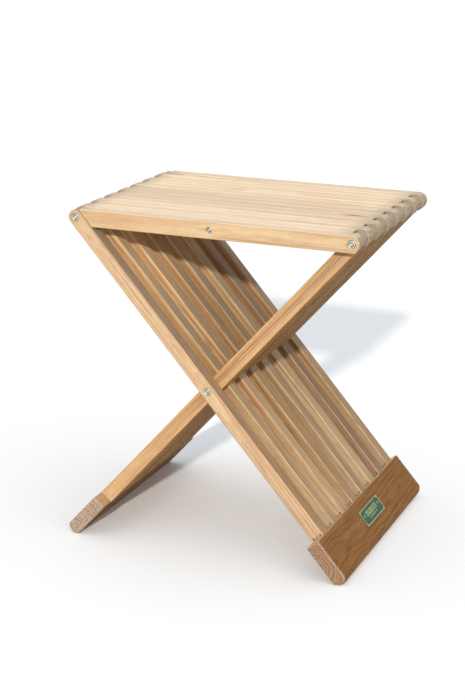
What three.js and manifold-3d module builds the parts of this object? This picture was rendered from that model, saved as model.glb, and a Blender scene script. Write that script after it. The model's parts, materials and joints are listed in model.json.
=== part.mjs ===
// Slatted teak shower stool: two crossed slatted legs, a slatted deck and four steel rods.
// Millimetres, +Z up, +X to the right, +Y to the back, origin on the floor under the middle.
//
// Fifteen layers of 20 mm slats stand side by side along Y. Leg A has a slat in every even
// layer and leg B in every odd one, so the legs cross between each other's slats. The deck has
// a slat in every layer. The ones in leg A's layers reach leg B's rod and stop short of leg A,
// and the others reach leg A's rod and stop short of leg B.

import * as THREE from 'three';
import { mergeVertices } from 'three/addons/utils/BufferGeometryUtils.js';
import Module from 'manifold-3d';

const wasm = await Module();
wasm.setup();

// ---- driving dimensions -------------------------------------------------------------------

const PIVOT_SPAN = 379;        // between the two top rods
const LEG_TILT = THREE.MathUtils.degToRad(48.65);  // legs against the floor
const LEG_LENGTH = 591;        // top rod to the end of the foot board
const BOARD_WIDTH = 65;        // foot board, measured along the leg
const BOARD_OVERHANG = 24;     // foot board past its leg's outer slats
const BOARD_CORNER = 5;        // rounding of the foot board's lower corners
const WORN_FLAT = 0.6;         // height worn off the foot's round edge where it stands

const LAYERS = 15;
const SLAT_THICKNESS = 20;
const LAYER_GAP = 0.6;
const LEG_DEPTH = 19.7;        // leg slat and foot board, square to the leg
const DECK_DEPTH = 22.4;       // deck slat height
const MITRE_GAP = 0.5;         // deck slat's cut end to the leg beside it

const ROD_RADIUS = 3;
const ROD_BORE_RADIUS = 3.4;
const TIE_RADIUS = 2.5;        // the deck's middle rod
const TIE_BORE_RADIUS = 2.9;
const HOOK_SLOT_WIDTH = 7.4;   // open slot under the deck slats that sit on leg A's rod
const SEAT_FOLD_RATIO = 1.7;   // deck turn for each degree of leg turn

const NUT = { head: 5, headDepth: 2.4, sleeve: 4.2, length: 14, bore: 3.3, socket: 2.3 };
const TIE_NUT = { head: 3.8, headDepth: 2, sleeve: 3.4, length: 12, bore: 2.8, socket: 1.7 };
const NUT_RECESS = 0.5;        // nut head under the slat's face
const NUT_CLEARANCE = 0.4;
const SOCKET_DEPTH = 1.4;

const TENON = { length: 25, width: 14, thickness: 8 };
const FIT_GAP = 0.3;
const BRAD = { radius: 0.8, length: 22, slant: THREE.MathUtils.degToRad(35), rise: 3, offset: 6.2 };

const PLATE = { width: 76, height: 23, thickness: 0.9, corner: 1.5, drop: 27.5 };

const TIP_SIDES = 10;          // facets on a slat's half-round tip
const BORE_SIDES = 14;
const REACH = 40;              // length of the tools that cut through a slat

// ---- places worked out from them ----------------------------------------------------------

const PITCH = SLAT_THICKNESS + LAYER_GAP;
const MIDDLE_LAYER = (LAYERS - 1) / 2;
const HALF_STACK = MIDDLE_LAYER * PITCH + SLAT_THICKNESS / 2;
const HALF_SPAN = PIVOT_SPAN / 2;
const TIP = LEG_DEPTH / 2;
const DECK_TIP = DECK_DEPTH / 2;
const SHOULDER = LEG_LENGTH - BOARD_WIDTH;
const CROSSING = HALF_SPAN / Math.cos(LEG_TILT);
const PIVOT_HEIGHT = (LEG_LENGTH - TIP) * Math.sin(LEG_TILT) + TIP - WORN_FLAT;
const layerY = (layer) => (layer - MIDDLE_LAYER) * PITCH;

// ---- materials ----------------------------------------------------------------------------

const teak = (color) => new THREE.MeshStandardMaterial({ color, roughness: 0.65, metalness: 0 });
const LEG_TEAK = teak('#b48c5e');
const DECK_TEAK = teak('#e3c7a0');
const FOOT_TEAK = teak('#86602f');
const STEEL = new THREE.MeshStandardMaterial({ color: '#c9c9c4', roughness: 0.3, metalness: 1 });
const PLATE_GREEN = new THREE.MeshStandardMaterial({ color: '#1f6b4a', roughness: 0.4 });

// ---- solids -------------------------------------------------------------------------------

function solid(geometry) {
  const bare = geometry.index ? geometry.toNonIndexed() : geometry.clone();
  bare.deleteAttribute('normal');
  bare.deleteAttribute('uv');
  const welded = mergeVertices(bare, 1e-4);
  const vertProperties = new Float32Array(welded.attributes.position.array);
  const triVerts = new Uint32Array(welded.index.array);
  return new wasm.Manifold(new wasm.Mesh({ numProp: 3, vertProperties, triVerts }));
}

function geometryOf(manifold) {
  const { vertProperties, triVerts } = manifold.getMesh();
  const geometry = new THREE.BufferGeometry();
  geometry.setAttribute('position', new THREE.BufferAttribute(new Float32Array(vertProperties), 3));
  geometry.setIndex(new THREE.BufferAttribute(new Uint32Array(triVerts), 1));
  geometry.computeVertexNormals();
  return geometry;
}

// An outline in X and Z, extruded along Y with its middle at y = 0.
function slab(outline, thickness) {
  return flatPlate(outline, thickness).rotateX(Math.PI / 2).translate(0, thickness / 2, 0);
}

// An outline in X and Y, extruded up from z = 0.
function flatPlate(outline, thickness) {
  const shape = new THREE.Shape(outline.map(([x, y]) => new THREE.Vector2(x, y)));
  return new THREE.ExtrudeGeometry(shape, { depth: thickness, bevelEnabled: false });
}

function arc(centreU, centreV, radius, from, to, sides) {
  return Array.from({ length: sides + 1 }, (_, i) => {
    const angle = from + ((to - from) * i) / sides;
    return [centreU + radius * Math.cos(angle), centreV + radius * Math.sin(angle)];
  });
}

function block(width, depth, height, x, y, z) {
  return solid(new THREE.BoxGeometry(width, depth, height).translate(x, y, z));
}

// A round tool along Y, from yFrom to yTo.
function drill(x, z, radius, yFrom, yTo) {
  const tool = new THREE.CylinderGeometry(radius, radius, yTo - yFrom, BORE_SIDES);
  return solid(tool.translate(x, (yFrom + yTo) / 2, z));
}

// The stepped seat of a sleeve nut in an outer slat: side -1 is the front face, 1 the back.
function nutSeat(x, z, nut, side) {
  const face = (side * SLAT_THICKNESS) / 2;
  const headBottom = face - side * (NUT_RECESS + nut.headDepth + NUT_CLEARANCE);
  const sleeveBottom = face - side * (NUT_RECESS + nut.length + NUT_CLEARANCE);
  const span = (y) => [Math.min(y, 2 * face), Math.max(y, 2 * face)];
  const head = drill(x, z, nut.head + NUT_CLEARANCE, ...span(headBottom));
  return head.add(drill(x, z, nut.sleeve + NUT_CLEARANCE, ...span(sleeveBottom)));
}

// ---- slats --------------------------------------------------------------------------------

// A brad driven at a slant through the slat's front face into the foot board.
function bradTool(radius, start, end, sides) {
  const tool = new THREE.CylinderGeometry(radius, radius, end - start, sides);
  tool.translate(0, (start + end) / 2, 0);
  tool.rotateZ(-(Math.PI / 2 - BRAD.slant));
  return tool.translate(SHOULDER - BRAD.rise, -SLAT_THICKNESS / 2, BRAD.offset);
}

const bradHole = () => solid(bradTool(BRAD.radius + FIT_GAP, -4, BRAD.length + FIT_GAP, 8));

// Leg slats run along local X from the top rod at x = 0 down to the shoulder and its tenon.
function legSlat(nutSide) {
  const outline = [
    [SHOULDER, -TIP], [SHOULDER, TIP],
    ...arc(0, 0, TIP, Math.PI / 2, (3 * Math.PI) / 2, TIP_SIDES),
  ];
  const tenonReach = TENON.length + TIP;
  let slat = solid(slab(outline, SLAT_THICKNESS));
  slat = slat.add(block(tenonReach, TENON.width, TENON.thickness,
    SHOULDER - TIP + tenonReach / 2, 0, 0));
  for (const x of [0, CROSSING]) {
    slat = slat.subtract(drill(x, 0, ROD_BORE_RADIUS, -REACH, REACH));
    if (nutSide) slat = slat.subtract(nutSeat(x, 0, NUT, nutSide));
  }
  return geometryOf(slat.subtract(bradHole()));
}

// Deck slats run along X. This one is rounded over leg B's rod and cut off beside leg A;
// turned end for end it is the slat that sits over leg A's rod.
function deckOutline() {
  const cut = TIP + MITRE_GAP;
  const cutX = (z) => -HALF_SPAN + (cut - z * Math.cos(LEG_TILT)) / Math.sin(LEG_TILT);
  const heel = DECK_TIP * Math.tan(LEG_TILT / 2);
  return [
    [cutX(-DECK_TIP), -DECK_TIP],
    [HALF_SPAN + heel, -DECK_TIP],
    ...arc(HALF_SPAN, 0, DECK_TIP, LEG_TILT - Math.PI / 2, Math.PI / 2, TIP_SIDES),
    [cutX(DECK_TIP), DECK_TIP],
  ];
}

function deckSlat(nutSide) {
  let slat = solid(slab(deckOutline(), SLAT_THICKNESS));
  slat = slat.subtract(drill(HALF_SPAN, 0, ROD_BORE_RADIUS, -REACH, REACH));
  slat = slat.subtract(drill(0, 0, TIE_BORE_RADIUS, -REACH, REACH));
  if (nutSide) {
    slat = slat.subtract(nutSeat(HALF_SPAN, 0, NUT, nutSide));
    slat = slat.subtract(nutSeat(0, 0, TIE_NUT, nutSide));
  }
  return geometryOf(slat);
}

// The way leg A's rod leaves the deck as the stool starts to fold.
function hookDirection() {
  const drop = HALF_SPAN * Math.tan(LEG_TILT);
  return Math.atan2(HALF_SPAN - PIVOT_SPAN * SEAT_FOLD_RATIO, drop);
}

function hookedDeckSlat() {
  const outline = deckOutline().map(([x, z]) => [-x, z]).reverse();
  const slot = new THREE.BoxGeometry(REACH, REACH, HOOK_SLOT_WIDTH).translate(REACH / 2, 0, 0);
  slot.rotateY(-hookDirection()).translate(-HALF_SPAN, 0, 0);
  const slat = solid(slab(outline, SLAT_THICKNESS))
    .subtract(drill(-HALF_SPAN, 0, ROD_BORE_RADIUS, -REACH, REACH))
    .subtract(solid(slot))
    .subtract(drill(0, 0, TIE_BORE_RADIUS, -REACH, REACH));
  return geometryOf(slat);
}

// ---- foot boards --------------------------------------------------------------------------

// The part worn off the foot's round edge, level with the floor.
function wornPart() {
  const tool = new THREE.BoxGeometry(TIP, 4 * HALF_STACK, LEG_DEPTH);
  tool.translate(TIP / 2 + TIP - WORN_FLAT, 0, 0);
  tool.rotateY(Math.PI / 2 - LEG_TILT);
  return solid(tool.translate(LEG_LENGTH - TIP, 0, 0));
}

// The board's face, with its two lower corners rounded, as a plate along local Z.
function boardFace(halfLength) {
  const c = BOARD_CORNER;
  const far = arc(LEG_LENGTH - c, halfLength - c, c, 0, Math.PI / 2, 5);
  const near = far.map(([x, y]) => [x, -y]).reverse();
  const outline = [[SHOULDER, -halfLength], ...near, ...far, [SHOULDER, halfLength]];
  return solid(flatPlate(outline, 2 * LEG_DEPTH).translate(0, 0, -LEG_DEPTH));
}

function footBoard(layers) {
  const outer = Math.max(...layers.map((layer) => Math.abs(layerY(layer))));
  const halfLength = outer + SLAT_THICKNESS / 2 + BOARD_OVERHANG;
  const outline = [
    [SHOULDER + FIT_GAP, TIP], [SHOULDER + FIT_GAP, -TIP],
    ...arc(LEG_LENGTH - TIP, 0, TIP, -Math.PI / 2, Math.PI / 2, TIP_SIDES),
  ];
  let board = solid(slab(outline, 2 * halfLength)).intersect(boardFace(halfLength));
  board = board.subtract(wornPart());
  const depth = TENON.length + FIT_GAP;
  for (const layer of layers) {
    const mortise = block(2 * depth, TENON.width + 2 * FIT_GAP, TENON.thickness + 2 * FIT_GAP,
      SHOULDER, 0, 0);
    board = board.subtract(mortise.add(bradHole()).translate([0, layerY(layer), 0]));
  }
  return geometryOf(board);
}

// ---- rods, nuts, brads and the plate ------------------------------------------------------

const rodHalfLength = (nut) => HALF_STACK - NUT_RECESS - nut.headDepth - 1;

function rod(radius, nut) {
  return new THREE.CylinderGeometry(radius, radius, 2 * rodHalfLength(nut), 20);
}

// A sleeve nut with a hexagon socket, its head's face at y = 0 and its sleeve along +Y.
function sleeveNut(nut) {
  const chamfer = 0.5;
  const bottom = nut.headDepth + FIT_GAP;
  const profile = [
    [0, 0], [nut.head - chamfer, 0], [nut.head, chamfer], [nut.head, nut.headDepth],
    [nut.sleeve, nut.headDepth], [nut.sleeve, nut.length], [nut.bore, nut.length],
    [nut.bore, bottom], [0, bottom],
  ].map(([r, y]) => new THREE.Vector2(r, y));
  const body = solid(new THREE.LatheGeometry(profile, 20));
  const socket = new THREE.CylinderGeometry(nut.socket, nut.socket, 2 * SOCKET_DEPTH, 6);
  return geometryOf(body.subtract(solid(socket)));
}

function plate() {
  const c = PLATE.corner;
  const u = PLATE.height / 2 - c;
  const v = PLATE.width / 2 - c;
  const quarter = (centreU, centreV, turns) => {
    const from = (turns * Math.PI) / 2;
    return arc(centreU, centreV, c, from, from + Math.PI / 2, 3);
  };
  const outline = [
    ...quarter(u, v, 0), ...quarter(-u, v, 1), ...quarter(-u, -v, 2), ...quarter(u, -v, 3),
  ];
  return flatPlate(outline, PLATE.thickness);
}

// ---- assembly -----------------------------------------------------------------------------

function mesh(name, geometry, material, x = 0, y = 0, z = 0) {
  const part = new THREE.Mesh(geometry, material);
  part.name = name;
  part.position.set(x, y, z);
  return part;
}

// A rod along Y with a sleeve nut in each outer slat.
function rodSet(name, radius, nut, x) {
  const set = new THREE.Group();
  set.add(mesh(`rod_${name}`, rod(radius, nut), STEEL, x));
  const reach = HALF_STACK - NUT_RECESS;
  const back = mesh(`nut_${name}_back`, sleeveNut(nut), STEEL, x, reach);
  back.rotation.z = Math.PI;
  set.add(mesh(`nut_${name}_front`, sleeveNut(nut), STEEL, x, -reach), back);
  return set;
}

// One leg, in its own frame: X down the leg from the top rod, Z square to it.
// order is 1, or -1 for the leg that is turned round and so counts its layers backwards.
function leg(letter, layers, order) {
  const frame = new THREE.Group();
  const outer = letter === 'a' ? [0, LAYERS - 1] : [];
  const brad = bradTool(BRAD.radius, BRAD.radius, BRAD.length, 8);
  layers.forEach((layer, i) => {
    const number = i + 1;
    const y = order * layerY(layer);
    const nutSide = outer.includes(layer) ? Math.sign(y) : 0;
    frame.add(mesh(`leg_${letter}_slat_${number}`, legSlat(nutSide), LEG_TEAK, 0, y));
    frame.add(mesh(`brad_${letter}_${number}`, brad, STEEL, 0, y));
  });
  frame.add(mesh(`foot_board_${letter}`, footBoard(layers), FOOT_TEAK));
  frame.position.set(-HALF_SPAN, 0, PIVOT_HEIGHT);
  frame.rotation.y = LEG_TILT;
  const stand = new THREE.Group();
  stand.add(frame);
  return { stand, frame };
}

const layersFrom = (first) => {
  const count = Math.ceil((LAYERS - first) / 2);
  return Array.from({ length: count }, (_, i) => first + 2 * i);
};

const legA = leg('a', layersFrom(0), 1);
legA.frame.add(rodSet('leg_a_top', ROD_RADIUS, NUT, 0));
legA.frame.add(rodSet('crossing', ROD_RADIUS, NUT, CROSSING));
legA.frame.add(mesh('label_plate', plate(), PLATE_GREEN, SHOULDER + PLATE.drop, 0, TIP + FIT_GAP));

const legB = leg('b', layersFrom(1), -1);
legB.stand.rotation.z = Math.PI;

const deck = new THREE.Group();
for (let layer = 0; layer < LAYERS; layer += 1) {
  const y = layerY(layer);
  const nutSide = layer === 0 || layer === LAYERS - 1 ? Math.sign(y) : 0;
  const geometry = layer % 2 === 0 ? deckSlat(nutSide) : hookedDeckSlat();
  deck.add(mesh(`seat_slat_${layer + 1}`, geometry, DECK_TEAK, 0, y));
}
deck.add(rodSet('leg_b_top', ROD_RADIUS, NUT, HALF_SPAN));
deck.add(rodSet('seat_tie', TIE_RADIUS, TIE_NUT, 0));
deck.position.z = PIVOT_HEIGHT;

const stool = new THREE.Group();
stool.add(legA.stand, legB.stand, deck);

export default stool;
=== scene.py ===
"""Slatted teak shower stool: wood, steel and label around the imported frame, with camera and light."""
import json
import math
import random

import bmesh
import bpy
import numpy as np
from mathutils import Matrix, Vector


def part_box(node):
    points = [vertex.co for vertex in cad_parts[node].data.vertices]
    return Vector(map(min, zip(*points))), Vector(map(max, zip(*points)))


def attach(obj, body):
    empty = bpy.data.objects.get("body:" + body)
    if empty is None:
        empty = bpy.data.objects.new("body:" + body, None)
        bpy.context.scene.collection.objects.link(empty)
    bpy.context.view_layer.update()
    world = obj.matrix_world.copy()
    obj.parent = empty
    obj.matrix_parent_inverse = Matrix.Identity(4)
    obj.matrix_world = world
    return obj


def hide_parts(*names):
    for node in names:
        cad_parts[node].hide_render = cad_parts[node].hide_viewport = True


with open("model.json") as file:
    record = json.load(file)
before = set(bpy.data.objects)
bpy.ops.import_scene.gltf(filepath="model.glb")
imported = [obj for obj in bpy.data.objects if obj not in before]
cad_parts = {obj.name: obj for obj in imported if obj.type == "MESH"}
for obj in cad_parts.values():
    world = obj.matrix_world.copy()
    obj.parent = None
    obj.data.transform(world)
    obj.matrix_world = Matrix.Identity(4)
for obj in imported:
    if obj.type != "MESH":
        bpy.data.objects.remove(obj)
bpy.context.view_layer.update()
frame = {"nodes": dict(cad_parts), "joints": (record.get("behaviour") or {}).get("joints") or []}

MM = 0.001

# ---- the frame's own measures ---------------------------------------------------------------

JOINTS = {joint["name"]: Vector(joint["pos_m"]) for joint in frame["joints"]}
CROSSING_POINT = JOINTS["leg_fold"]
RIGHT_ROD = JOINTS["seat_fold"]
HALF_SPAN = RIGHT_ROD.x
PIVOT_HEIGHT = RIGHT_ROD.z
TILT = math.atan2(PIVOT_HEIGHT - CROSSING_POINT.z, HALF_SPAN)
CROSSING = HALF_SPAN / math.cos(TILT)


def middle_and_size(node):
    low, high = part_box(node)
    return (low + high) / 2, high - low


SLAT_WIDTH = middle_and_size("seat_slat_1")[1].y
DECK_DEPTH = middle_and_size("seat_slat_1")[1].z
LEG_DEPTH = 2 * (-HALF_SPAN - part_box("leg_a_slat_1")[0].x)
TIP = LEG_DEPTH / 2
DECK_TIP = DECK_DEPTH / 2

# ---- named measures ------------------------------------------------------------------------

LEG_LENGTH = 591 * MM
BOARD_WIDTH = 65 * MM
SHOULDER = LEG_LENGTH - BOARD_WIDTH
BOARD_CORNER = 5 * MM
BOARD_GAP = 0.15 * MM          # hairline between a slat's shoulder and its board
MITRE_GAP = 0.5 * MM
BORE = 3.4 * MM
TIE_BORE = 2.9 * MM
HOOK_HALF_WIDTH = 3.7 * MM
FOLD_RATIO = 1.7
TENON = (25 * MM, 14 * MM, 8 * MM)
TENON_FIT = 0.3 * MM

LEG_EASE = 1.5 * MM            # rounding of the long edges
DECK_EASE = 1.0 * MM
BOARD_EASE = 1.8 * MM
UNEVEN = 0.22 * MM             # how far planed faces dip
WAVES = 2
WAVE_PITCH = (14, 30)
WAVE_START = (0, 6.3)
STATION = 22 * MM
BOARD_STATION = 8 * MM
ARC_STEP = math.radians(7.5)
CORNER_STEP = math.radians(15)
CORNER_TURN = math.radians(20)  # an outline that turns more than this has a corner there

NUT = {"head": 5.0, "depth": 2.4, "sleeve": 4.2, "length": 14.0, "dish": 3.7, "socket": 2.3}
TIE_NUT = {"head": 3.8, "depth": 2.0, "sleeve": 3.4, "length": 12.0, "dish": 2.9, "socket": 1.8}
NUT_RECESS = 0.5
NUT_CLEARANCE = 0.4

NUT_RIM = 0.3                  # how far the worn ring round a nut's seat lies outside it
NUT_SIDES = 48
NUT_TURN = 0.07                # how far the hexagon sockets have turned from level
# How much wider the mouth of a nut's seat gets, and at what height over the slat's face.
NUT_MOUTH = ((0, -0.7), (0.25, -0.35), (0.8, -0.03), (1.1, 0.15))

BRAD_OFFSETS = (6.2 * MM, -6.2 * MM)
BRAD_RISE = 3 * MM
BRAD_SLANT = math.radians(35)
BRAD_RADIUS = 0.8 * MM
BRAD_LENGTH = 22 * MM
BRAD_SUNK = 1.0 * MM
BRAD_HOLE = 1.15 * MM

PLATE = {"height": 23 * MM, "width": 76 * MM, "thick": 0.6 * MM, "rim": 1.3 * MM,
         "raise": 0.3 * MM, "drop": 27.5 * MM, "lift": 0.3 * MM, "play": 0.2 * MM,
         "notch": 2.2 * MM, "corner": 1.4 * MM, "sunk": 0.05 * MM, "bevel": 0.12 * MM}
# The plain bars on the plate: width, height, place along the plate, place down it, in mm.
BARS = ((42, 1.5, 0, -5.0), (42, 1.5, 0, -2.2), (42, 1.5, 0, 0.6), (30, 1.3, 0, 4.6))
# The two small diamonds beside them, given the same way.
DIAMONDS = ((3.2, 3.2, 29, -2.2), (3.2, 3.2, -29, -2.2))
BAR_RAISE = 0.2 * MM
BAR_BEVEL = 0.1 * MM

# ---- local frames ---------------------------------------------------------------------------


def leg_frame(turned):
    """X down the leg from its top rod, Y along the rods, Z square to the leg."""
    along = Vector((math.cos(TILT), 0, -math.sin(TILT)))
    square = Vector((math.sin(TILT), 0, math.cos(TILT)))
    place = Matrix((
        (along.x, 0, square.x, -HALF_SPAN),
        (0, 1, 0, 0),
        (along.z, 0, square.z, PIVOT_HEIGHT),
        (0, 0, 0, 1),
    ))
    return Matrix.Rotation(math.pi, 4, "Z") @ place if turned else place


LEG_A = leg_frame(False)
LEG_B = leg_frame(True)
DECK = Matrix.Translation((0, 0, PIVOT_HEIGHT))

# ---- outlines -------------------------------------------------------------------------------


def arc(centre_x, centre_z, radius, start, end):
    count = max(2, round(abs(end - start) / ARC_STEP))
    angles = [start + (end - start) * i / count for i in range(count + 1)]
    return [Vector((centre_x + radius * math.cos(a), centre_z + radius * math.sin(a)))
            for a in angles]


def turn_at(before, point, after):
    a = point - before
    b = after - point
    return math.atan2(a.x * b.y - a.y * b.x, a.dot(b))


def soften_corners(outline, radius):
    """An arc at each corner that turns more than a facet of an arc does."""
    softened = []
    for i, point in enumerate(outline):
        before = outline[i - 1]
        after = outline[(i + 1) % len(outline)]
        turn = turn_at(before, point, after)
        if abs(turn) < CORNER_TURN:
            softened.append(point)
            continue
        reach = radius * math.tan(abs(turn) / 2)
        start = point + (before - point).normalized() * reach
        run = (point - before).normalized()
        side = Vector((-run.y, run.x)) * math.copysign(1, turn)
        centre = start + side * radius
        count = max(2, round(abs(turn) / CORNER_STEP))
        for k in range(count + 1):
            swing = Matrix.Rotation(turn * k / count, 2)
            softened.append(centre + swing @ (start - centre))
    return softened


def with_stations(outline, spacing):
    """The outline with extra points along its long straight edges."""
    dense = []
    for i, point in enumerate(outline):
        after = outline[(i + 1) % len(outline)]
        count = max(1, round((after - point).length / spacing))
        dense.extend(point.lerp(after, k / count) for k in range(count))
    return dense


def uneven(outline, depth, rng):
    """Dips the outline's straight runs inwards a little, as hand-planed wood does."""
    waves = [(rng.uniform(*WAVE_PITCH), rng.uniform(*WAVE_START)) for _ in range(WAVES)]
    dipped = []
    for i, point in enumerate(outline):
        before = outline[i - 1]
        after = outline[(i + 1) % len(outline)]
        straight = abs(turn_at(before, point, after)) < 1e-4
        inward = Vector((before.y - after.y, after.x - before.x)).normalized()
        swell = sum(math.sin(f * point.x + p + 2 * math.copysign(1, point.y)) for f, p in waves)
        dipped.append(point + inward * depth * (0.5 + swell / 4) if straight else point)
    return dipped


def inset(outline, amount, softness):
    """The outline with each edge moved inwards by amount times that edge's softness."""
    moved = []
    for i, point in enumerate(outline):
        before = outline[i - 1]
        after = outline[(i + 1) % len(outline)]
        a = (point - before).normalized()
        b = (after - point).normalized()
        normal_a = Vector((a.y, -a.x))
        normal_b = Vector((b.y, -b.x))
        deep_a = amount * softness(before, point)
        deep_b = amount * softness(point, after)
        cross = normal_a.x * normal_b.y - normal_a.y * normal_b.x
        if abs(cross) < 1e-3:
            moved.append(point - (normal_a + normal_b).normalized() * (deep_a + deep_b) / 2)
        else:
            shift = Vector((
                (deep_a * normal_b.y - deep_b * normal_a.y) / cross,
                (deep_b * normal_a.x - deep_a * normal_b.x) / cross,
            ))
            moved.append(point - shift)
    return moved


def leg_outline():
    straight = math.pi / 2
    corners = [Vector((SHOULDER, -TIP)), Vector((SHOULDER, TIP))]
    return corners + arc(0, 0, TIP, straight, 3 * straight)


def deck_outline(hooked):
    """A deck slat, rounded over one rod and cut off beside the other rod's leg."""
    cut = TIP + MITRE_GAP
    heel = DECK_TIP * math.tan(TILT / 2)

    def cut_x(z):
        return -HALF_SPAN + (cut - z * math.cos(TILT)) / math.sin(TILT)

    outline = [Vector((cut_x(-DECK_TIP), -DECK_TIP)), Vector((HALF_SPAN + heel, -DECK_TIP))]
    outline += arc(HALF_SPAN, 0, DECK_TIP, TILT - math.pi / 2, math.pi / 2)
    outline.append(Vector((cut_x(DECK_TIP), DECK_TIP)))
    if hooked:
        outline = [Vector((-p.x, p.y)) for p in reversed(outline)]
    return outline


def board_outline():
    straight = math.pi / 2
    corners = [Vector((SHOULDER + BOARD_GAP, TIP)), Vector((SHOULDER + BOARD_GAP, -TIP))]
    return corners + arc(LEG_LENGTH - TIP, 0, TIP, -straight, straight)


# ---- mesh building --------------------------------------------------------------------------


def mesh_from(vertices, faces):
    made = bpy.data.meshes.new("shape")
    made.from_pydata([tuple(v) for v in vertices], [], faces)
    made.validate()
    return made


def slab(outline, thickness, ease, softness=lambda a, b: 1.0, stations=(), steps=4):
    """The outline extruded along Y about y = 0, its two faces' edges rounded."""
    half = thickness / 2
    rounding = []
    for k in range(steps, -1, -1):
        angle = math.pi / 2 * k / steps
        rounding.append((half - ease * (1 - math.sin(angle)), ease * (1 - math.cos(angle))))
    levels = [(-y, deep) for y, deep in rounding]
    levels += [(y, 0) for y in stations]
    levels += [(y, deep) for y, deep in reversed(rounding)]
    vertices = []
    for y, deep in levels:
        vertices += [(p.x, y, p.y) for p in inset(outline, deep, softness)]
    n = len(outline)
    faces = []
    for level in range(len(levels) - 1):
        a = level * n
        b = a + n
        faces += [(a + i, a + (i + 1) % n, b + (i + 1) % n, b + i) for i in range(n)]
    faces.append(tuple(reversed(range(n))))
    faces.append(tuple(range((len(levels) - 1) * n, len(levels) * n)))
    return outward(mesh_from(vertices, faces))


def outward(mesh):
    """The same mesh with every face's normal pointing out."""
    shape = bmesh.new()
    shape.from_mesh(mesh)
    bmesh.ops.recalc_face_normals(shape, faces=shape.faces)
    shape.to_mesh(mesh)
    shape.free()
    return mesh


def lathe(profile, sides):
    """A closed profile of (radius, y) points, turned about the Y axis. It starts and ends on it."""
    vertices = [(0, profile[0][1], 0)]
    for radius, y in profile[1:-1]:
        angles = [2 * math.pi * i / sides for i in range(sides)]
        vertices += [(radius * math.cos(a), y, radius * math.sin(a)) for a in angles]
    vertices.append((0, profile[-1][1], 0))
    last = len(vertices) - 1
    rings = len(profile) - 2
    faces = [(0, 1 + (i + 1) % sides, 1 + i) for i in range(sides)]
    for ring in range(rings - 1):
        a = 1 + ring * sides
        b = a + sides
        faces += [(a + i, a + (i + 1) % sides, b + (i + 1) % sides, b + i) for i in range(sides)]
    a = 1 + (rings - 1) * sides
    faces += [(a + i, a + (i + 1) % sides, last) for i in range(sides)]
    return outward(mesh_from(vertices, faces))


def moved(mesh, matrix):
    copy = mesh.copy()
    copy.transform(matrix)
    return copy


def joined(meshes):
    """Several meshes as one."""
    whole = bmesh.new()
    for mesh in meshes:
        whole.from_mesh(mesh)
    result = bpy.data.meshes.new("tools")
    whole.to_mesh(result)
    whole.free()
    return result


def combined(mesh, tools, operation="DIFFERENCE"):
    """The mesh with the tools cut out of it, or added to it. It is worked out in millimetres."""
    enlarge = Matrix.Scale(1 / MM, 4)
    body = bpy.data.objects.new("body", moved(mesh, enlarge))
    tool = bpy.data.objects.new("tool", moved(joined(tools), enlarge))
    for thing in (body, tool):
        bpy.context.collection.objects.link(thing)
    cut = body.modifiers.new("cut", "BOOLEAN")
    cut.object = tool
    cut.operation = operation
    cut.solver = "EXACT"
    ready = body.evaluated_get(bpy.context.evaluated_depsgraph_get())
    result = bpy.data.meshes.new_from_object(ready)
    for thing in (body, tool):
        bpy.data.objects.remove(thing)
    return moved(result, Matrix.Scale(MM, 4))


# ---- cutting tools --------------------------------------------------------------------------


def bore(x, radius):
    reach = SLAT_WIDTH
    tool = lathe([(0, -reach), (radius, -reach), (radius, reach), (0, reach)], 32)
    return moved(tool, Matrix.Translation((x, 0, 0)))


def nut_seat(x, nut, side, bore_radius):
    """A stepped bore with a rounded mouth, from the face on one side right through the slat."""
    face = SLAT_WIDTH / 2
    head = (nut["head"] + NUT_CLEARANCE) * MM
    sleeve = (nut["sleeve"] + NUT_CLEARANCE) * MM
    head_floor = face - (NUT_RECESS + nut["depth"] + NUT_CLEARANCE) * MM
    sleeve_floor = face - (NUT_RECESS + nut["length"] + NUT_CLEARANCE) * MM
    mouth = [(head + wider * MM, face + higher * MM) for wider, higher in NUT_MOUTH]
    profile = [(0, -SLAT_WIDTH), (bore_radius, -SLAT_WIDTH), (bore_radius, sleeve_floor),
               (sleeve, sleeve_floor), (sleeve, head_floor), (head, head_floor)]
    profile += mouth + [(mouth[-1][0], SLAT_WIDTH), (0, SLAT_WIDTH)]
    tool = lathe(profile, 40)
    if side < 0:
        tool = outward(moved(tool, Matrix.Scale(-1, 4, (0, 1, 0))))
    return moved(tool, Matrix.Translation((x, 0, 0)))


def hook_slot():
    """The open slot by which a deck slat sits over leg A's rod."""
    drop = HALF_SPAN * math.tan(TILT)
    angle = math.atan2(HALF_SPAN - 2 * HALF_SPAN * FOLD_RATIO, drop)
    away = Vector((math.cos(angle), math.sin(angle)))
    across = Vector((-away.y, away.x))
    reach = 40 * MM
    outline = arc(0, 0, HOOK_HALF_WIDTH, angle + math.pi / 2, angle + 3 * math.pi / 2)
    outline = [away * reach + across * HOOK_HALF_WIDTH] + outline
    outline.append(away * reach - across * HOOK_HALF_WIDTH)
    tool = slab(outline, 2 * SLAT_WIDTH, 0.1 * MM, steps=1)
    return moved(tool, Matrix.Translation((-HALF_SPAN, 0, 0)))


def brad_place(offset):
    """Where a brad's head lies and which way it was driven, in the leg's frame."""
    start = Vector((SHOULDER - BRAD_RISE, -SLAT_WIDTH / 2, offset))
    return Matrix.Translation(start) @ Matrix.Rotation(-(math.pi / 2 - BRAD_SLANT), 4, "Z")


def brad_holes():
    profile = [(0, -3 * MM), (BRAD_HOLE, -3 * MM), (BRAD_HOLE, BRAD_SUNK * 1.6),
               (BRAD_RADIUS + 0.05 * MM, BRAD_SUNK * 1.8), (BRAD_RADIUS + 0.05 * MM, BRAD_LENGTH),
               (0, BRAD_LENGTH)]
    tool = lathe(profile, 14)
    return [moved(tool, brad_place(offset)) for offset in BRAD_OFFSETS]


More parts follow.
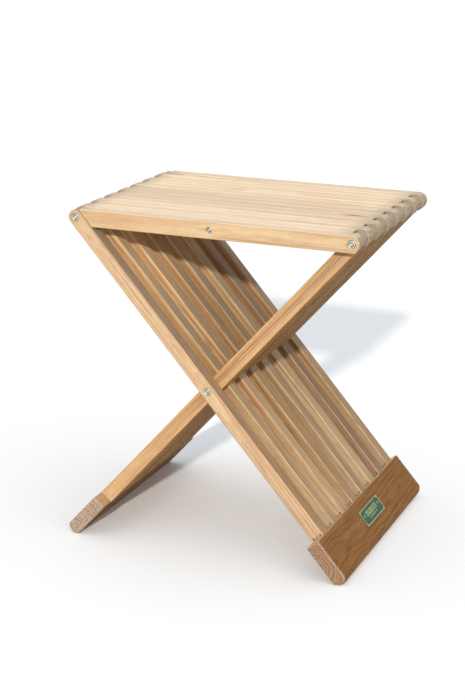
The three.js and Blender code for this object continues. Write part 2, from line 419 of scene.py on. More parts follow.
def tenon(extra):
    length, width, height = TENON
    reach = 12 * MM
    low = Vector((SHOULDER - reach, -height / 2 - extra))
    high = Vector((SHOULDER + length + extra, height / 2 + extra))
    outline = [low, Vector((high.x, low.y)), high, Vector((low.x, high.y))]
    return slab(outline, width + 2 * extra, 0.8 * MM, steps=2)


# ---- what the wood material reads from each mesh ---------------------------------------------


def smooth(value, start, end):
    t = np.clip((value - start) / (end - start), 0, 1)
    return t * t * (3 - 2 * t)


def outline_depth(points, outline):
    """How far each point lies from the outline."""
    best = np.full(len(points), 1e9)
    for i, start in enumerate(outline):
        a = np.array(start)
        b = np.array(outline[(i + 1) % len(outline)])
        run = b - a
        t = np.clip(((points - a) @ run) / max(run @ run, 1e-12), 0, 1)
        best = np.minimum(best, np.linalg.norm(points - a - t[:, None] * run, axis=1))
    return best


def write_values(mesh, name, kind, values):
    layer = mesh.attributes.new(name, kind, "POINT")
    field = {"FLOAT": "value", "FLOAT_VECTOR": "vector", "FLOAT_COLOR": "color"}[kind]
    layer.data.foreach_set(field, np.ascontiguousarray(values, dtype=np.float32).ravel())


PITH = (12 * MM, 60 * MM)      # how far a slat may lie from the middle of its log
GRAIN_SLOPE = 0.02
LOG_LENGTH = 40
# How far down the leg the painted light that lifts the deck's shadow fades out.
DECK_SHADOW_LIFT_FADE = (80 * MM, 200 * MM)
RIM_HALF_WIDTH = 1.1 * MM
RIM_DEPTH = 0.8 * MM


def grain_field(local, rng, pith, along, middle):
    """Coordinates in the log: first along the grain, then across it from the log's middle."""
    order = {"x": (0, 1, 2), "y": (1, 0, 2)}[along]
    lengthwise, across, up = (local[:, k] - middle[k] for k in order)
    angle = rng.uniform(0, 2 * math.pi)
    distance = rng.uniform(*pith)
    slope = rng.uniform(-GRAIN_SLOPE, GRAIN_SLOPE)
    start = rng.uniform(0, LOG_LENGTH)
    return np.stack([
        lengthwise + start,
        across + distance * math.cos(angle) + slope * lengthwise,
        up + distance * math.sin(angle) + slope * lengthwise * 0.7,
    ], axis=1)


# Which faces get the ageing and painted light and shade: upper faces, or a board's shoulder faces.
def upper_faces(amount):
    return lambda normals: amount * smooth(normals[:, 2], 0.3, 0.9)


def shoulder_faces(amount):
    return lambda normals: amount * smooth(-normals[:, 0], 0.3, 0.9)


def dress(mesh, outline, thickness, ease, rng, tint, weather, rims=(), along="x",
          pith=PITH, aging_and_face_shading=upper_faces(1.0), middle=(0, 0, 0), deck_shadow_lift=0.0):
    """Writes grain place, tint, worn edges, end grain, weathering and painted light and shade into a
    wooden mesh. aged says which faces get ageing together with painted light and shade by the way
    they face, middle is a point that the log's own middle lies near, and sheltered says how much
    lighter the wood is painted high on the leg, to lift the deck's shadow. Downward faces get
    painted shade."""
    local = np.zeros(len(mesh.vertices) * 3)
    mesh.vertices.foreach_get("co", local)
    local = local.reshape(-1, 3)
    normals = np.zeros(len(mesh.vertices) * 3)
    mesh.vertices.foreach_get("normal", normals)
    normals = normals.reshape(-1, 3)
    side_depth = outline_depth(local[:, [0, 2]], outline)
    face_depth = thickness / 2 - np.abs(local[:, 1])
    on_edge = np.minimum(side_depth, face_depth) < ease
    worn = np.clip(1 - np.abs(side_depth - face_depth) / ease, 0, 1) * on_edge
    for x, radius in rims:
        away = np.hypot(local[:, 0] - x, local[:, 2])
        rim = (np.abs(away - radius) < RIM_HALF_WIDTH) & (face_depth < RIM_DEPTH)
        worn = np.maximum(worn, rim * 1.0)
    lengthwise = np.abs(normals[:, 0 if along == "x" else 1])
    field = grain_field(local, rng, pith, along, middle)
    write_values(mesh, "grain", "FLOAT_VECTOR", field)
    # Painted light: leg A's inner slats are coloured lighter high up, lifting the deck's shadow.
    paler = 1 + deck_shadow_lift * (1 - smooth(local[:, 0], *DECK_SHADOW_LIFT_FADE))
    colours = np.ones((len(local), 4))
    colours[:, :3] = np.array(tint) * paler[:, None]
    write_values(mesh, "tint", "FLOAT_COLOR", colours)
    write_values(mesh, "worn", "FLOAT", worn)
    write_values(mesh, "endgrain", "FLOAT", smooth(lengthwise, 0.35, 0.8))
    write_values(mesh, "weather", "FLOAT", weather(local))
    # Ageing together with painted light and shade, by the way each face points.
    write_values(mesh, "aging_and_face_shading", "FLOAT", aging_and_face_shading(normals))
    # Painted shade on the downward faces.
    write_values(mesh, "under", "FLOAT", smooth(-normals[:, 2], 0.5, 0.66))
    return mesh


# ---- node graphs ----------------------------------------------------------------------------


def linear(red, green, blue):
    """A colour as it is read off a screen, 0 to 255, in scene units."""
    scaled = [c / 255 for c in (red, green, blue)]
    return tuple(c / 12.92 if c <= 0.04045 else ((c + 0.055) / 1.055) ** 2.4 for c in scaled)


class Graph:
    """Short words for building a material's nodes."""

    def __init__(self, name):
        self.material = bpy.data.materials.new(name)
        self.material.use_nodes = True
        self.tree = self.material.node_tree
        self.shader = self.tree.nodes["Principled BSDF"]

    def put(self, kind, inputs, **settings):
        made = self.tree.nodes.new(kind)
        for key, value in settings.items():
            setattr(made, key, value)
        for key, value in inputs.items():
            if isinstance(value, bpy.types.NodeSocket):
                self.tree.links.new(value, made.inputs[key])
            else:
                made.inputs[key].default_value = value
        return made

    def attribute(self, name):
        return self.put("ShaderNodeAttribute", {}, attribute_name=name)

    def calc(self, operation, a, b=0.0, clamp=False):
        made = self.put("ShaderNodeMath", {0: a, 1: b}, operation=operation, use_clamp=clamp)
        return made.outputs[0]

    def scaled(self, vector, factors):
        made = self.put("ShaderNodeVectorMath", {0: vector, 1: factors}, operation="MULTIPLY")
        return made.outputs[0]

    def noise(self, vector, detail=2.0, roughness=0.5):
        made = self.put("ShaderNodeTexNoise", {
            "Vector": vector, "Scale": 1.0, "Detail": detail, "Roughness": roughness,
        })
        return made.outputs[0]

    def ramp(self, value, start, end, low=0.0, high=1.0):
        made = self.put("ShaderNodeMapRange", {
            0: value, 1: start, 2: end, 3: low, 4: high,
        }, interpolation_type="SMOOTHSTEP")
        return made.outputs[0]

    def mix(self, factor, a, b, blend="MIX"):
        made = self.put("ShaderNodeMix", {0: factor, 6: a, 7: b}, data_type="RGBA",
                        blend_type=blend, clamp_factor=True)
        return made.outputs[2]

    def shade(self, **sockets):
        for key, value in sockets.items():
            socket = self.shader.inputs[key.replace("_", " ").title().replace("Ior", "IOR")]
            if isinstance(value, bpy.types.NodeSocket):
                self.tree.links.new(value, socket)
            else:
                socket.default_value = value

    def bump(self, height, strength, distance):
        made = self.put("ShaderNodeBump", {
            "Height": height, "Strength": strength, "Distance": distance,
        })
        self.tree.links.new(made.outputs[0], self.shader.inputs["Normal"])


def rgba(colour):
    return (*colour, 1.0)


# How fine each kind of mark is, per metre: along the grain, across it and up through it.
MARKS = {
    "fibre": (16.0, 750.0, 750.0),
    "pore": (70.0, 1700.0, 1700.0),
    "blush": (5.0, 45.0, 45.0),
    "straw": (3.0, 60.0, 38.0),
    "speckle": (500.0, 1100.0, 1100.0),
    "rub": (55.0, 160.0, 160.0),
    "grime": (30.0, 420.0, 420.0),
}
YEAR_PITCH = 120.0
YEAR_DRIFT = 1.6
KNOT_PUSH = 0.006              # how far rings bend round a knot
END_RING_DEPTH = 0.5
SHEEN = 0.12
GRAIN_RELIEF = 0.25 * MM


def knots(g, place, look):
    """Where knots lie, and the wider places where the grain bends round them."""
    cells = g.put("ShaderNodeTexVoronoi", {
        "Vector": g.scaled(place, look["knot_cells"]), "Scale": 1.0, "Randomness": 1.0,
    })
    distance = cells.outputs["Distance"]
    return g.ramp(distance, 0.10, 0.03), g.ramp(distance, 0.34, 0.05)


def growth_rings(g, place, look, near_knot):
    """1 in the dark late wood of each year, 0 between."""
    drift = g.noise(g.scaled(place, look["drift"]), detail=2.0)
    across = g.scaled(place, (0.0, 1.0, 1.0))
    radius = g.put("ShaderNodeVectorMath", {0: across}, operation="LENGTH").outputs["Value"]
    radius = g.calc("ADD", radius, g.calc("MULTIPLY", drift, look["swirl"]))
    radius = g.calc("ADD", radius, g.calc("MULTIPLY", near_knot, KNOT_PUSH))
    uneven_years = g.put("ShaderNodeTexNoise", {
        "W": g.calc("MULTIPLY", radius, YEAR_PITCH), "Scale": 1.0, "Detail": 2.0,
    }, noise_dimensions="1D").outputs[0]
    years = g.calc("ADD", g.calc("DIVIDE", radius, look["ring"]),
                   g.calc("MULTIPLY", uneven_years, YEAR_DRIFT))
    wave = g.calc("SINE", g.calc("MULTIPLY", years, 2 * math.pi))
    return g.ramp(wave, -0.5, 1.0)


def figured(g, place, look, ring, fibre, pore):
    """Pale wood darkened by rings, fibres, streaks and pores."""
    streak = g.noise(g.scaled(place, look["streak"]), detail=3.0, roughness=0.55)
    dark_streak = g.ramp(streak, 0.56, 0.74)
    dark = g.calc("MULTIPLY", ring, look["ring_depth"])
    dark = g.calc("ADD", dark, g.calc("MULTIPLY", g.ramp(fibre, 0.3, 0.7), look["fibre_depth"]))
    dark = g.calc("ADD", dark, g.calc("MULTIPLY", dark_streak, look["streak_depth"]))
    dark = g.calc("ADD", dark, g.calc("MULTIPLY", pore, look["pore_depth"]), clamp=True)
    return g.mix(dark, rgba(look["pale"]), rgba(look["dark"]))


def patched(g, place, look, colour):
    """Wide soft patches of pinker and yellower wood."""
    patch = g.noise(g.scaled(place, MARKS["blush"]), detail=2.0)
    colour = g.mix(g.ramp(patch, 0.52, 0.72, 0.0, look["blush_depth"]), colour,
                   rgba(look["blush"]))
    straw_patch = g.noise(g.scaled(place, MARKS["straw"]), detail=2.0)
    return g.mix(g.ramp(straw_patch, 0.54, 0.72, 0.0, look["straw_depth"]), colour,
                 rgba(look["straw"]))


def end_cut(g, place, look, colour, endgrain):
    """Speckled pores where the grain is cut across."""
    speckle = g.noise(g.scaled(place, MARKS["speckle"]), detail=3.0, roughness=0.7)
    end_colour = g.mix(g.ramp(speckle, 0.35, 0.7), rgba(look["end_dark"]),
                       rgba(look["end_pale"]))
    return g.mix(g.calc("MULTIPLY", endgrain, look["end_depth"]), colour, end_colour)


def rubbed(g, place, look, colour, weather):
    """Edges rubbed pale, except where the wood has gone grey."""
    worn = g.attribute("worn").outputs["Fac"]
    rub = g.ramp(g.noise(g.scaled(place, MARKS["rub"]), detail=2.0), 0.25, 0.65)
    rub = g.calc("MULTIPLY", g.calc("MULTIPLY", rub, worn), look["edge_depth"])
    rub = g.calc("MULTIPLY", rub, g.calc("SUBTRACT", 1.0, weather, clamp=True))
    return g.mix(rub, colour, rgba(look["edge"]))


def greyed(g, place, look, colour, weather):
    """Grey grime in the fibres of the weathered places."""
    grime = g.ramp(g.noise(g.scaled(place, MARKS["grime"]), detail=3.0), 0.2, 0.65)
    return g.mix(g.calc("MULTIPLY", weather, grime), colour, rgba(look["grey"]))


def teak(name, look):
    """Unfinished teak: growth rings about the log's middle, fibres, pores, knots and wear."""
    g = Graph(name)
    place = g.attribute("grain").outputs["Vector"]
    tint = g.attribute("tint").outputs["Color"]
    endgrain = g.attribute("endgrain").outputs["Fac"]
    weather = g.attribute("weather").outputs["Fac"]
    aging_and_face_shading = g.attribute("aging_and_face_shading").outputs["Fac"]
    under = g.attribute("under").outputs["Fac"]

    knot, near_knot = knots(g, place, look)
    ring = growth_rings(g, place, look, near_knot)
    fibre = g.noise(g.scaled(place, MARKS["fibre"]), detail=3.0, roughness=0.6)
    pore = g.ramp(g.noise(g.scaled(place, MARKS["pore"]), detail=1.0), 0.60, 0.72)

    colour = figured(g, place, look, ring, fibre, pore)
    colour = patched(g, place, look, colour)
    colour = g.mix(1.0, colour, tint, blend="MULTIPLY")
    # Ageing and painted light and shade, multiplied in by the way each face points.
    colour = g.mix(aging_and_face_shading, colour, rgba(look["aging_and_face_shading"]), blend="MULTIPLY")
    colour = g.mix(g.calc("MULTIPLY", knot, look["knot_depth"]), colour, rgba(look["knot"]))
    colour = end_cut(g, place, look, colour, endgrain)
    colour = rubbed(g, place, look, colour, weather)
    # Painted shade: downward faces darkened.
    colour = g.mix(under, colour, rgba(look["under"]), blend="MULTIPLY")
    colour = greyed(g, place, look, colour, weather)
    end_ring = g.calc("MULTIPLY", g.calc("MULTIPLY", endgrain, ring), END_RING_DEPTH)
    colour = g.mix(end_ring, colour, rgba(look["end_dark"]))

    rough = g.ramp(fibre, 0.25, 0.8, look["rough"] - 0.07, look["rough"] + 0.1)
    g.shade(base_color=colour, roughness=rough, specular_ior_level=SHEEN)
    height = g.calc("SUBTRACT", g.calc("MULTIPLY", fibre, 0.8), g.calc("MULTIPLY", pore, 0.9))
    height = g.calc("SUBTRACT", height, g.calc("MULTIPLY", ring, 0.3))
    g.bump(height, 0.35, GRAIN_RELIEF)
    return g.material


# In each look, the colour multiplied into faces by their direction is ageing with painted light and
# shade; the colour for downward faces is painted shade.
SEAT_LOOK = {
    "pale": linear(223, 192, 151), "dark": linear(184, 143, 98),
    "aging_and_face_shading": (1.22, 1.38, 1.68), "under": (0.80, 0.74, 0.66),
    "blush": linear(208, 166, 128), "blush_depth": 0.45,
    "straw": linear(216, 184, 136), "straw_depth": 0.4,
    "knot": linear(110, 80, 56), "knot_depth": 0.6, "knot_cells": (4.2, 13.0, 13.0),
    "grey": linear(158, 146, 128), "edge": linear(236, 210, 174), "edge_depth": 0.3,
    "end_pale": linear(196, 166, 130), "end_dark": linear(138, 110, 82), "end_depth": 0.6,
    "ring": 5.5 * MM, "drift": (5.0, 30.0, 30.0), "swirl": 0.008,
    "streak": (3.5, 240.0, 240.0), "ring_depth": 0.28, "fibre_depth": 0.40,
    "streak_depth": 0.6, "pore_depth": 0.25, "rough": 0.66,
}
LEG_LOOK = {
    "pale": linear(221, 186, 147), "dark": linear(162, 121, 83),
    "aging_and_face_shading": (0.58, 0.53, 0.48), "under": (0.66, 0.46, 0.25),
    "blush": linear(198, 148, 114), "blush_depth": 0.4,
    "straw": linear(206, 174, 126), "straw_depth": 0.25,
    "knot": linear(78, 50, 32), "knot_depth": 0.75, "knot_cells": (4.2, 13.0, 13.0),
    "grey": linear(168, 158, 140), "edge": linear(234, 206, 168), "edge_depth": 0.5,
    "end_pale": linear(190, 154, 116), "end_dark": linear(128, 94, 64), "end_depth": 0.55,
    "ring": 3.4 * MM, "drift": (5.0, 30.0, 30.0), "swirl": 0.006,
    "streak": (6.0, 260.0, 260.0), "ring_depth": 0.20, "fibre_depth": 0.58,
    "streak_depth": 0.4, "pore_depth": 0.35, "rough": 0.62,
}
FOOT_LOOK = {
    "pale": linear(145, 101, 54), "dark": linear(96, 58, 25),
    "aging_and_face_shading": (2.9, 4.3, 7.6), "under": (0.72, 0.64, 0.52),
    "blush": linear(140, 96, 62), "blush_depth": 0.4,
    "straw": linear(164, 126, 76), "straw_depth": 0.35,
    "knot": linear(64, 40, 24), "knot_depth": 0.5, "knot_cells": (5.0, 16.0, 16.0),
    "grey": linear(192, 178, 160), "edge": linear(226, 196, 158), "edge_depth": 0.75,
    "end_pale": linear(188, 146, 108), "end_dark": linear(112, 78, 50), "end_depth": 0.8,
    "ring": 3.6 * MM, "drift": (11.0, 22.0, 22.0), "swirl": 0.012,
    "streak": (18.0, 150.0, 150.0), "ring_depth": 0.26, "fibre_depth": 0.50,
    "streak_depth": 0.2, "pore_depth": 0.4, "rough": 0.6,
}


def satin_steel():
    """Turned stainless steel with fine lathe marks and a few dull spots."""
    g = Graph("satin_steel")
    place = g.put("ShaderNodeTexCoord", {}).outputs["Object"]
    marks = g.noise(g.scaled(place, (900.0, 9000.0, 900.0)), detail=2.0)
    stains = g.ramp(g.noise(g.scaled(place, (420.0, 420.0, 420.0)), detail=3.0), 0.45, 0.75)
    colour = g.mix(stains, rgba(linear(232, 230, 222)), rgba(linear(196, 192, 180)))
    # Painted shade: the dish of each nut's face is coloured darker grey, for the shade in its recess.
    dish_shade = g.attribute("dish_shade").outputs["Fac"]
    colour = g.mix(dish_shade, colour, rgba(linear(140, 137, 122)))
    rough = g.ramp(marks, 0.3, 0.7, 0.30, 0.44)
    g.shade(base_color=colour, roughness=rough, metallic=1.0)
    g.bump(marks, 0.15, 0.05 * MM)
    return g.material


def rusted_brad():
    """A dark, slightly rusted nail head."""
    g = Graph("dark_brad")
    place = g.put("ShaderNodeTexCoord", {}).outputs["Object"]
    spots = g.ramp(g.noise(g.scaled(place, (1800.0, 1800.0, 1800.0)), detail=3.0), 0.35, 0.7)
    colour = g.mix(spots, rgba(linear(46, 34, 26)), rgba(linear(84, 56, 38)))
    rough = g.ramp(spots, 0.0, 1.0, 0.55, 0.85)
    g.shade(base_color=colour, roughness=rough, metallic=0.4)
    g.bump(spots, 0.3, 0.1 * MM)
    return g.material


def plate_finish(name, deep, bright, metallic, rough):
    """Enamel or gilding with a slight mottle and fine scratches."""
    g = Graph(name)
    place = g.put("ShaderNodeTexCoord", {}).outputs["Object"]
    mottle = g.noise(g.scaled(place, (260.0, 260.0, 260.0)), detail=4.0, roughness=0.6)
    colour = g.mix(g.ramp(mottle, 0.3, 0.7), rgba(deep), rgba(bright))
    scratches = g.noise(g.scaled(place, (4000.0, 160.0, 4000.0)), detail=1.0)
    roughness = g.ramp(scratches, 0.35, 0.75, rough - 0.06, rough + 0.12)
    g.shade(base_color=colour, roughness=roughness, metallic=metallic)
    g.bump(mottle, 0.1, 0.05 * MM)
    return g.material


SEAT_TEAK = teak("seat_teak_wood", SEAT_LOOK)
LEG_TEAK = teak("leg_teak_wood", LEG_LOOK)
FOOT_TEAK = teak("foot_teak_wood", FOOT_LOOK)
STEEL = satin_steel()
DARK_BRAD = rusted_brad()
GREEN = plate_finish("green_enamel", linear(6, 70, 44), linear(14, 90, 58), 0.0, 0.34)
GOLD = plate_finish("pale_gold", linear(150, 140, 84), linear(204, 194, 134), 0.4, 0.4)

# ---- placing pieces -------------------------------------------------------------------------


def piece(name, mesh, place, body, material, replaced=(), sharp=38):
    """Puts a finished mesh on its body with its material and shading."""
    mesh.transform(place)
    mesh.materials.clear()
    mesh.materials.append(material)
    mesh.shade_smooth()
    mesh.set_sharp_from_angle(angle=math.radians(sharp))
    made = bpy.data.objects.new(name, mesh)
    bpy.context.collection.objects.link(made)
    shading = made.modifiers.new("even_shading", "WEIGHTED_NORMAL")
    shading.keep_sharp = True
    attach(made, body)
    if replaced:
        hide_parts(*replaced)
    return made


# Tints are multiplied into the wood's colour.
TINTS = {
    "plain": (1.0, 1.0, 1.0),
    "pale": (1.02, 1.03, 1.05),
    "peach": (0.95, 0.95, 0.97),
    "rosy": (0.90, 0.88, 0.91),
    "tan": (0.94, 0.93, 0.92),
    "cream": (1.02, 1.03, 1.0),
    "yellow": (0.78, 0.81, 0.76),
    "golden": (0.86, 0.88, 0.82),
    "brown": (0.68, 0.67, 0.59),
    "fawn": (0.67, 0.70, 0.69),
    "wheat": (0.84, 0.91, 0.88),
    "umber": (0.50, 0.46, 0.46),
    "olive": (0.66, 0.68, 0.62),
    "orange": (1.03, 0.97, 0.84),
}
SEAT_TINTS = ("peach", "pale", "plain", "plain", "tan", "rosy", "rosy", "rosy",
              "tan", "plain", "cream", "cream", "plain", "plain", "tan")
LEG_A_TINTS = ("plain", "yellow", "golden", "brown", "fawn", "wheat", "umber", "olive")
LEG_B_TINTS = ("orange", "golden", "olive", "yellow", "golden", "fawn", "golden")
INNER_AGING_AND_FACE_SHADING = 0.3               # how far the upper faces behind leg A's front slat take the ageing and painted light and shade
DECK_SHADOW_LIFT = 0.6                # how much lighter leg A's wood is painted high up, lifting the deck's shadow there
# How grey each weathered place has gone.
LEG_GREY = {"tip": 0.95, "tip_sides_kept": 0.75, "foot": 0.25, "upper_face": 0.45}
DECK_GREY = {"ends": 0.8, "tip_sides": 1.6, "front_kept": 0.85}


def near_side(local):
    """1 on a slat's two flat sides, 0 between them."""
    return smooth(np.abs(local[:, 1]), SLAT_WIDTH / 2 - 1.5 * MM, SLAT_WIDTH / 2 - 0.2 * MM)


def leg_weather(local):
    """Greyer over the tip, on the upper part of the upper face and just above the board."""
    along = local[:, 0]
    tip = 1 - smooth(along, -4 * MM, 22 * MM)
    tip = tip * (1 - LEG_GREY["tip_sides_kept"] * near_side(local))
    foot = smooth(along, SHOULDER - 16 * MM, SHOULDER)
    upper_face = smooth(local[:, 2], 0.85 * TIP, TIP) * (1 - smooth(along, 90 * MM, 420 * MM))
    ends = LEG_GREY["tip"] * tip + LEG_GREY["foot"] * foot
    return np.maximum(ends, LEG_GREY["upper_face"] * upper_face)


def deck_weather(local):
    """Greyer over both ends of the deck, most of all on the sides of its tips."""
    along = np.abs(local[:, 0])
    ends = smooth(along, HALF_SPAN - 26 * MM, HALF_SPAN + 4 * MM)
    tip_sides = near_side(local) * smooth(along, HALF_SPAN - 4 * MM, HALF_SPAN)
    return np.maximum(DECK_GREY["ends"] * ends, DECK_GREY["tip_sides"] * tip_sides)


def front_deck_weather(local):
    """The front slat has stayed clean on its front side."""
    return deck_weather(local) * (1 - DECK_GREY["front_kept"] * near_side(local))


def shoulder_softness(a, b):
    return 0.1 if min(a.x, b.x) > SHOULDER - 0.1 * MM else 1.0


def leg_slat(number, letter, place, tint, nut_side):
    name = f"leg_{letter}_slat_{number}"
    rng = random.Random(f"{name} wood" if letter == "a" else f"{name} grain")
    outline = uneven(with_stations(leg_outline(), STATION), UNEVEN, rng)
    mesh = slab(outline, SLAT_WIDTH, LEG_EASE, shoulder_softness)
    mesh = combined(mesh, [tenon(0)], "UNION")
    tools = list(brad_holes())
    rims = []
    for x in (0, CROSSING):
        if nut_side:
            tools.append(nut_seat(x, NUT, nut_side, BORE))
            rims.append((x, (NUT["head"] + NUT_CLEARANCE + NUT_RIM) * MM))
        else:
            tools.append(bore(x, BORE))
    mesh = combined(mesh, tools)
    # Leg A's front slat gets the full ageing and painted light and shade on its upper faces.
    aging_and_face_shading = upper_faces(1.0 if nut_side < 0 else INNER_AGING_AND_FACE_SHADING)
    # Leg A's inner slats are painted lighter high up, lifting the deck's shadow.
    deck_shadow_lift = DECK_SHADOW_LIFT if letter == "a" and nut_side >= 0 else 0.0
    dress(mesh, outline, SLAT_WIDTH, LEG_EASE, rng, TINTS[tint], leg_weather, rims, aging_and_face_shading=aging_and_face_shading,
          deck_shadow_lift=deck_shadow_lift)
    centre = middle_and_size(name)[0]
    shift = Matrix.Translation((0, centre.y if letter == "a" else -centre.y, 0))
    piece(f"teak_{name}", mesh, place @ shift, f"leg_{letter}", LEG_TEAK, [name])
    return shift


def deck_slat(number):
    name = f"seat_slat_{number}"
    rng = random.Random(f"{name} wood")
    hooked = number % 2 == 0
    outline = soften_corners(deck_outline(hooked), DECK_EASE + 0.4 * MM)
    outline = uneven(with_stations(outline, STATION), UNEVEN, rng)
    mesh = slab(outline, SLAT_WIDTH, DECK_EASE)
    side = {1: -1, len(SEAT_TINTS): 1}.get(number, 0)
    rims = []
    if side:
        tools = [nut_seat(HALF_SPAN, NUT, side, BORE), nut_seat(0, TIE_NUT, side, TIE_BORE)]
        rims = [(HALF_SPAN, (NUT["head"] + NUT_CLEARANCE + NUT_RIM) * MM),
                (0, (TIE_NUT["head"] + NUT_CLEARANCE + NUT_RIM) * MM)]
    elif hooked:
        tools = [hook_slot(), bore(0, TIE_BORE)]
    else:
        tools = [bore(HALF_SPAN, BORE), bore(0, TIE_BORE)]
    mesh = combined(mesh, tools)
    tint = TINTS[SEAT_TINTS[number - 1]]
    weather = front_deck_weather if number == 1 else deck_weather
    dress(mesh, outline, SLAT_WIDTH, DECK_EASE, rng, tint, weather, rims)
    centre = middle_and_size(name)[0]
    place = DECK @ Matrix.Translation((0, centre.y, 0))
    piece(f"teak_{name}", mesh, place, "seat", SEAT_TEAK, [name])


def foot_board(letter, place, slat_shifts, tint, end_weather, aging_and_face_shading, middle, pith):
    name = f"foot_board_{letter}"
    rng = random.Random(f"{name} wood")
    length = middle_and_size(name)[1].y
    half = length / 2
    outline = soften_corners(board_outline(), BOARD_EASE + 0.7 * MM)
    outline = with_stations(outline, BOARD_STATION)
    inner = half - BOARD_EASE
    fine = [inner - BOARD_CORNER * (1 - math.sin(a * math.pi / 16)) for a in range(8)]
    evenly = [fine[0] * (k / 10 - 1) for k in range(1, 20)]
    stations = [-y for y in reversed(fine)] + evenly + fine
    mesh = slab(outline, length, BOARD_EASE, stations=stations)
    reach = BOARD_CORNER + BOARD_EASE
    start = LEG_LENGTH - reach
    for vertex in mesh.vertices:
        past = max(0.0, abs(vertex.co.y) - (half - reach)) / reach
        limit = reach * math.sqrt(max(0.0, 1 - past * past))
        if vertex.co.x > start:
            vertex.co.x = start + (vertex.co.x - start) * limit / reach
    mesh = combined(mesh, [moved(tenon(TENON_FIT), shift) for shift in slat_shifts])

    def weather(local):
        return end_weather * smooth(np.abs(local[:, 1]), half - 6 * MM, half)

    # The board's shoulder faces get ageing with painted light and shade.
    dress(mesh, outline, length, BOARD_EASE, rng, TINTS[tint], weather, along="y", pith=pith,
          aging_and_face_shading=shoulder_faces(aging_and_face_shading), middle=middle)
    mesh.transform(place)
    for vertex in mesh.vertices:
        vertex.co.z = max(vertex.co.z, 0.0)
    piece(f"teak_{name}", mesh, Matrix.Identity(4), f"leg_{letter}", FOOT_TEAK,
          [name])


def brads(number, letter, place, shift):
    """The pair of brads that pins a slat's tenon, each with a flat sunk head."""
    head = BRAD_HOLE - 0.1 * MM
    profile = [(0, BRAD_SUNK), (head * 0.7, BRAD_SUNK), (head, BRAD_SUNK + 0.12 * MM),
               (head, BRAD_SUNK + 0.45 * MM), (BRAD_RADIUS, BRAD_SUNK + 0.6 * MM),
               (BRAD_RADIUS, BRAD_LENGTH - 2.5 * MM), (0.15 * MM, BRAD_LENGTH - 0.3 * MM),
               (0, BRAD_LENGTH - 0.3 * MM)]
    pair = joined([moved(lathe(profile, 16), brad_place(offset)) for offset in BRAD_OFFSETS])
    piece(f"brads_{letter}_{number}", pair, place @ shift, f"leg_{letter}",
          DARK_BRAD, [f"brad_{letter}_{number}"])


def nut_mesh(nut):
    """A sleeve nut: rounded head with a dished face and a hexagon socket, face at y = 0."""
    head, dish, socket = nut["head"], nut["dish"], nut["socket"]
    profile = [(0, 0.75), (socket + 0.35, 0.75), (dish - 0.5, 0.5), (dish - 0.1, 0.12),
               (dish + 0.1, 0.0)]
    for k in range(5):
        angle = math.pi / 2 * k / 4
        profile.append((head - 0.6 + 0.6 * math.sin(angle), 0.6 - 0.6 * math.cos(angle)))
    profile += [(head, nut["depth"]), (nut["sleeve"], nut["depth"] + 0.05),
                (nut["sleeve"], nut["length"] - 0.4), (nut["sleeve"] - 0.4, nut["length"]),
                (nut["sleeve"] - 1.0, nut["length"]), (nut["sleeve"] - 1.0, nut["depth"] + 1.6),
                (0, nut["depth"] + 1.6)]
    body = lathe([(r * MM, y * MM) for r, y in profile], NUT_SIDES)
    flats = [((socket + 0.4) * MM, -0.5 * MM), ((socket + 0.25) * MM, 0.8 * MM),
             (socket * MM, 1.05 * MM), (socket * MM, 2.6 * MM)]
    hexagon = lathe([(0, -0.5 * MM)] + flats + [(0, 2.6 * MM)], 6)
    made = combined(body, [moved(hexagon, Matrix.Rotation(NUT_TURN, 4, "Y"))])
    away = np.array([math.hypot(v.co.x, v.co.z) for v in made.vertices]) / MM
    depth = np.array([v.co.y for v in made.vertices]) / MM
    # Painted shade in the dished face round the socket.
    dish_shaded = (away > socket * 0.8) & (away < dish + 0.05) & (depth < 2.2)
    write_values(made, "dish_shade", "FLOAT", dish_shaded * 1.0)
    return made


def nuts():
    """A nut at both ends of every rod."""
    for rod, nut, body in (("leg_a_top", NUT, "leg_a"), ("crossing", NUT, "leg_a"),
                           ("leg_b_top", NUT, "seat"), ("seat_tie", TIE_NUT, "seat")):
        mesh = nut_mesh(nut)
        for end in ("front", "back"):
            node = f"nut_{rod}_{end}"
            low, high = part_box(node)
            face = low.y if end == "front" else high.y
            place = Matrix.Translation(((low.x + high.x) / 2, face, (low.z + high.z) / 2))
            if end == "back":
                place = place @ Matrix.Rotation(math.pi, 4, "Z")
            piece(f"steel_{node}", mesh.copy(), place, body, STEEL, [node], 30)


def panel(width, height, base, top, bevel):
    """A flat raised panel in the plate's frame: X up the plate, Y along it, Z out of it."""
    u, v = height / 2, width / 2
    rings = [(u, v, base), (u, v, top - bevel), (u - bevel, v - bevel, top)]
    vertices = []
    for a, b, z in rings:
        vertices += [(a, b, z), (-a, b, z), (-a, -b, z), (a, -b, z)]
    faces = [(3, 2, 1, 0), (8, 9, 10, 11)]
    for ring in (0, 4):
        faces += [(ring + i, ring + (i + 1) % 4, ring + 4 + (i + 1) % 4, ring + 4 + i)
                  for i in range(4)]
    return outward(mesh_from(vertices, faces))


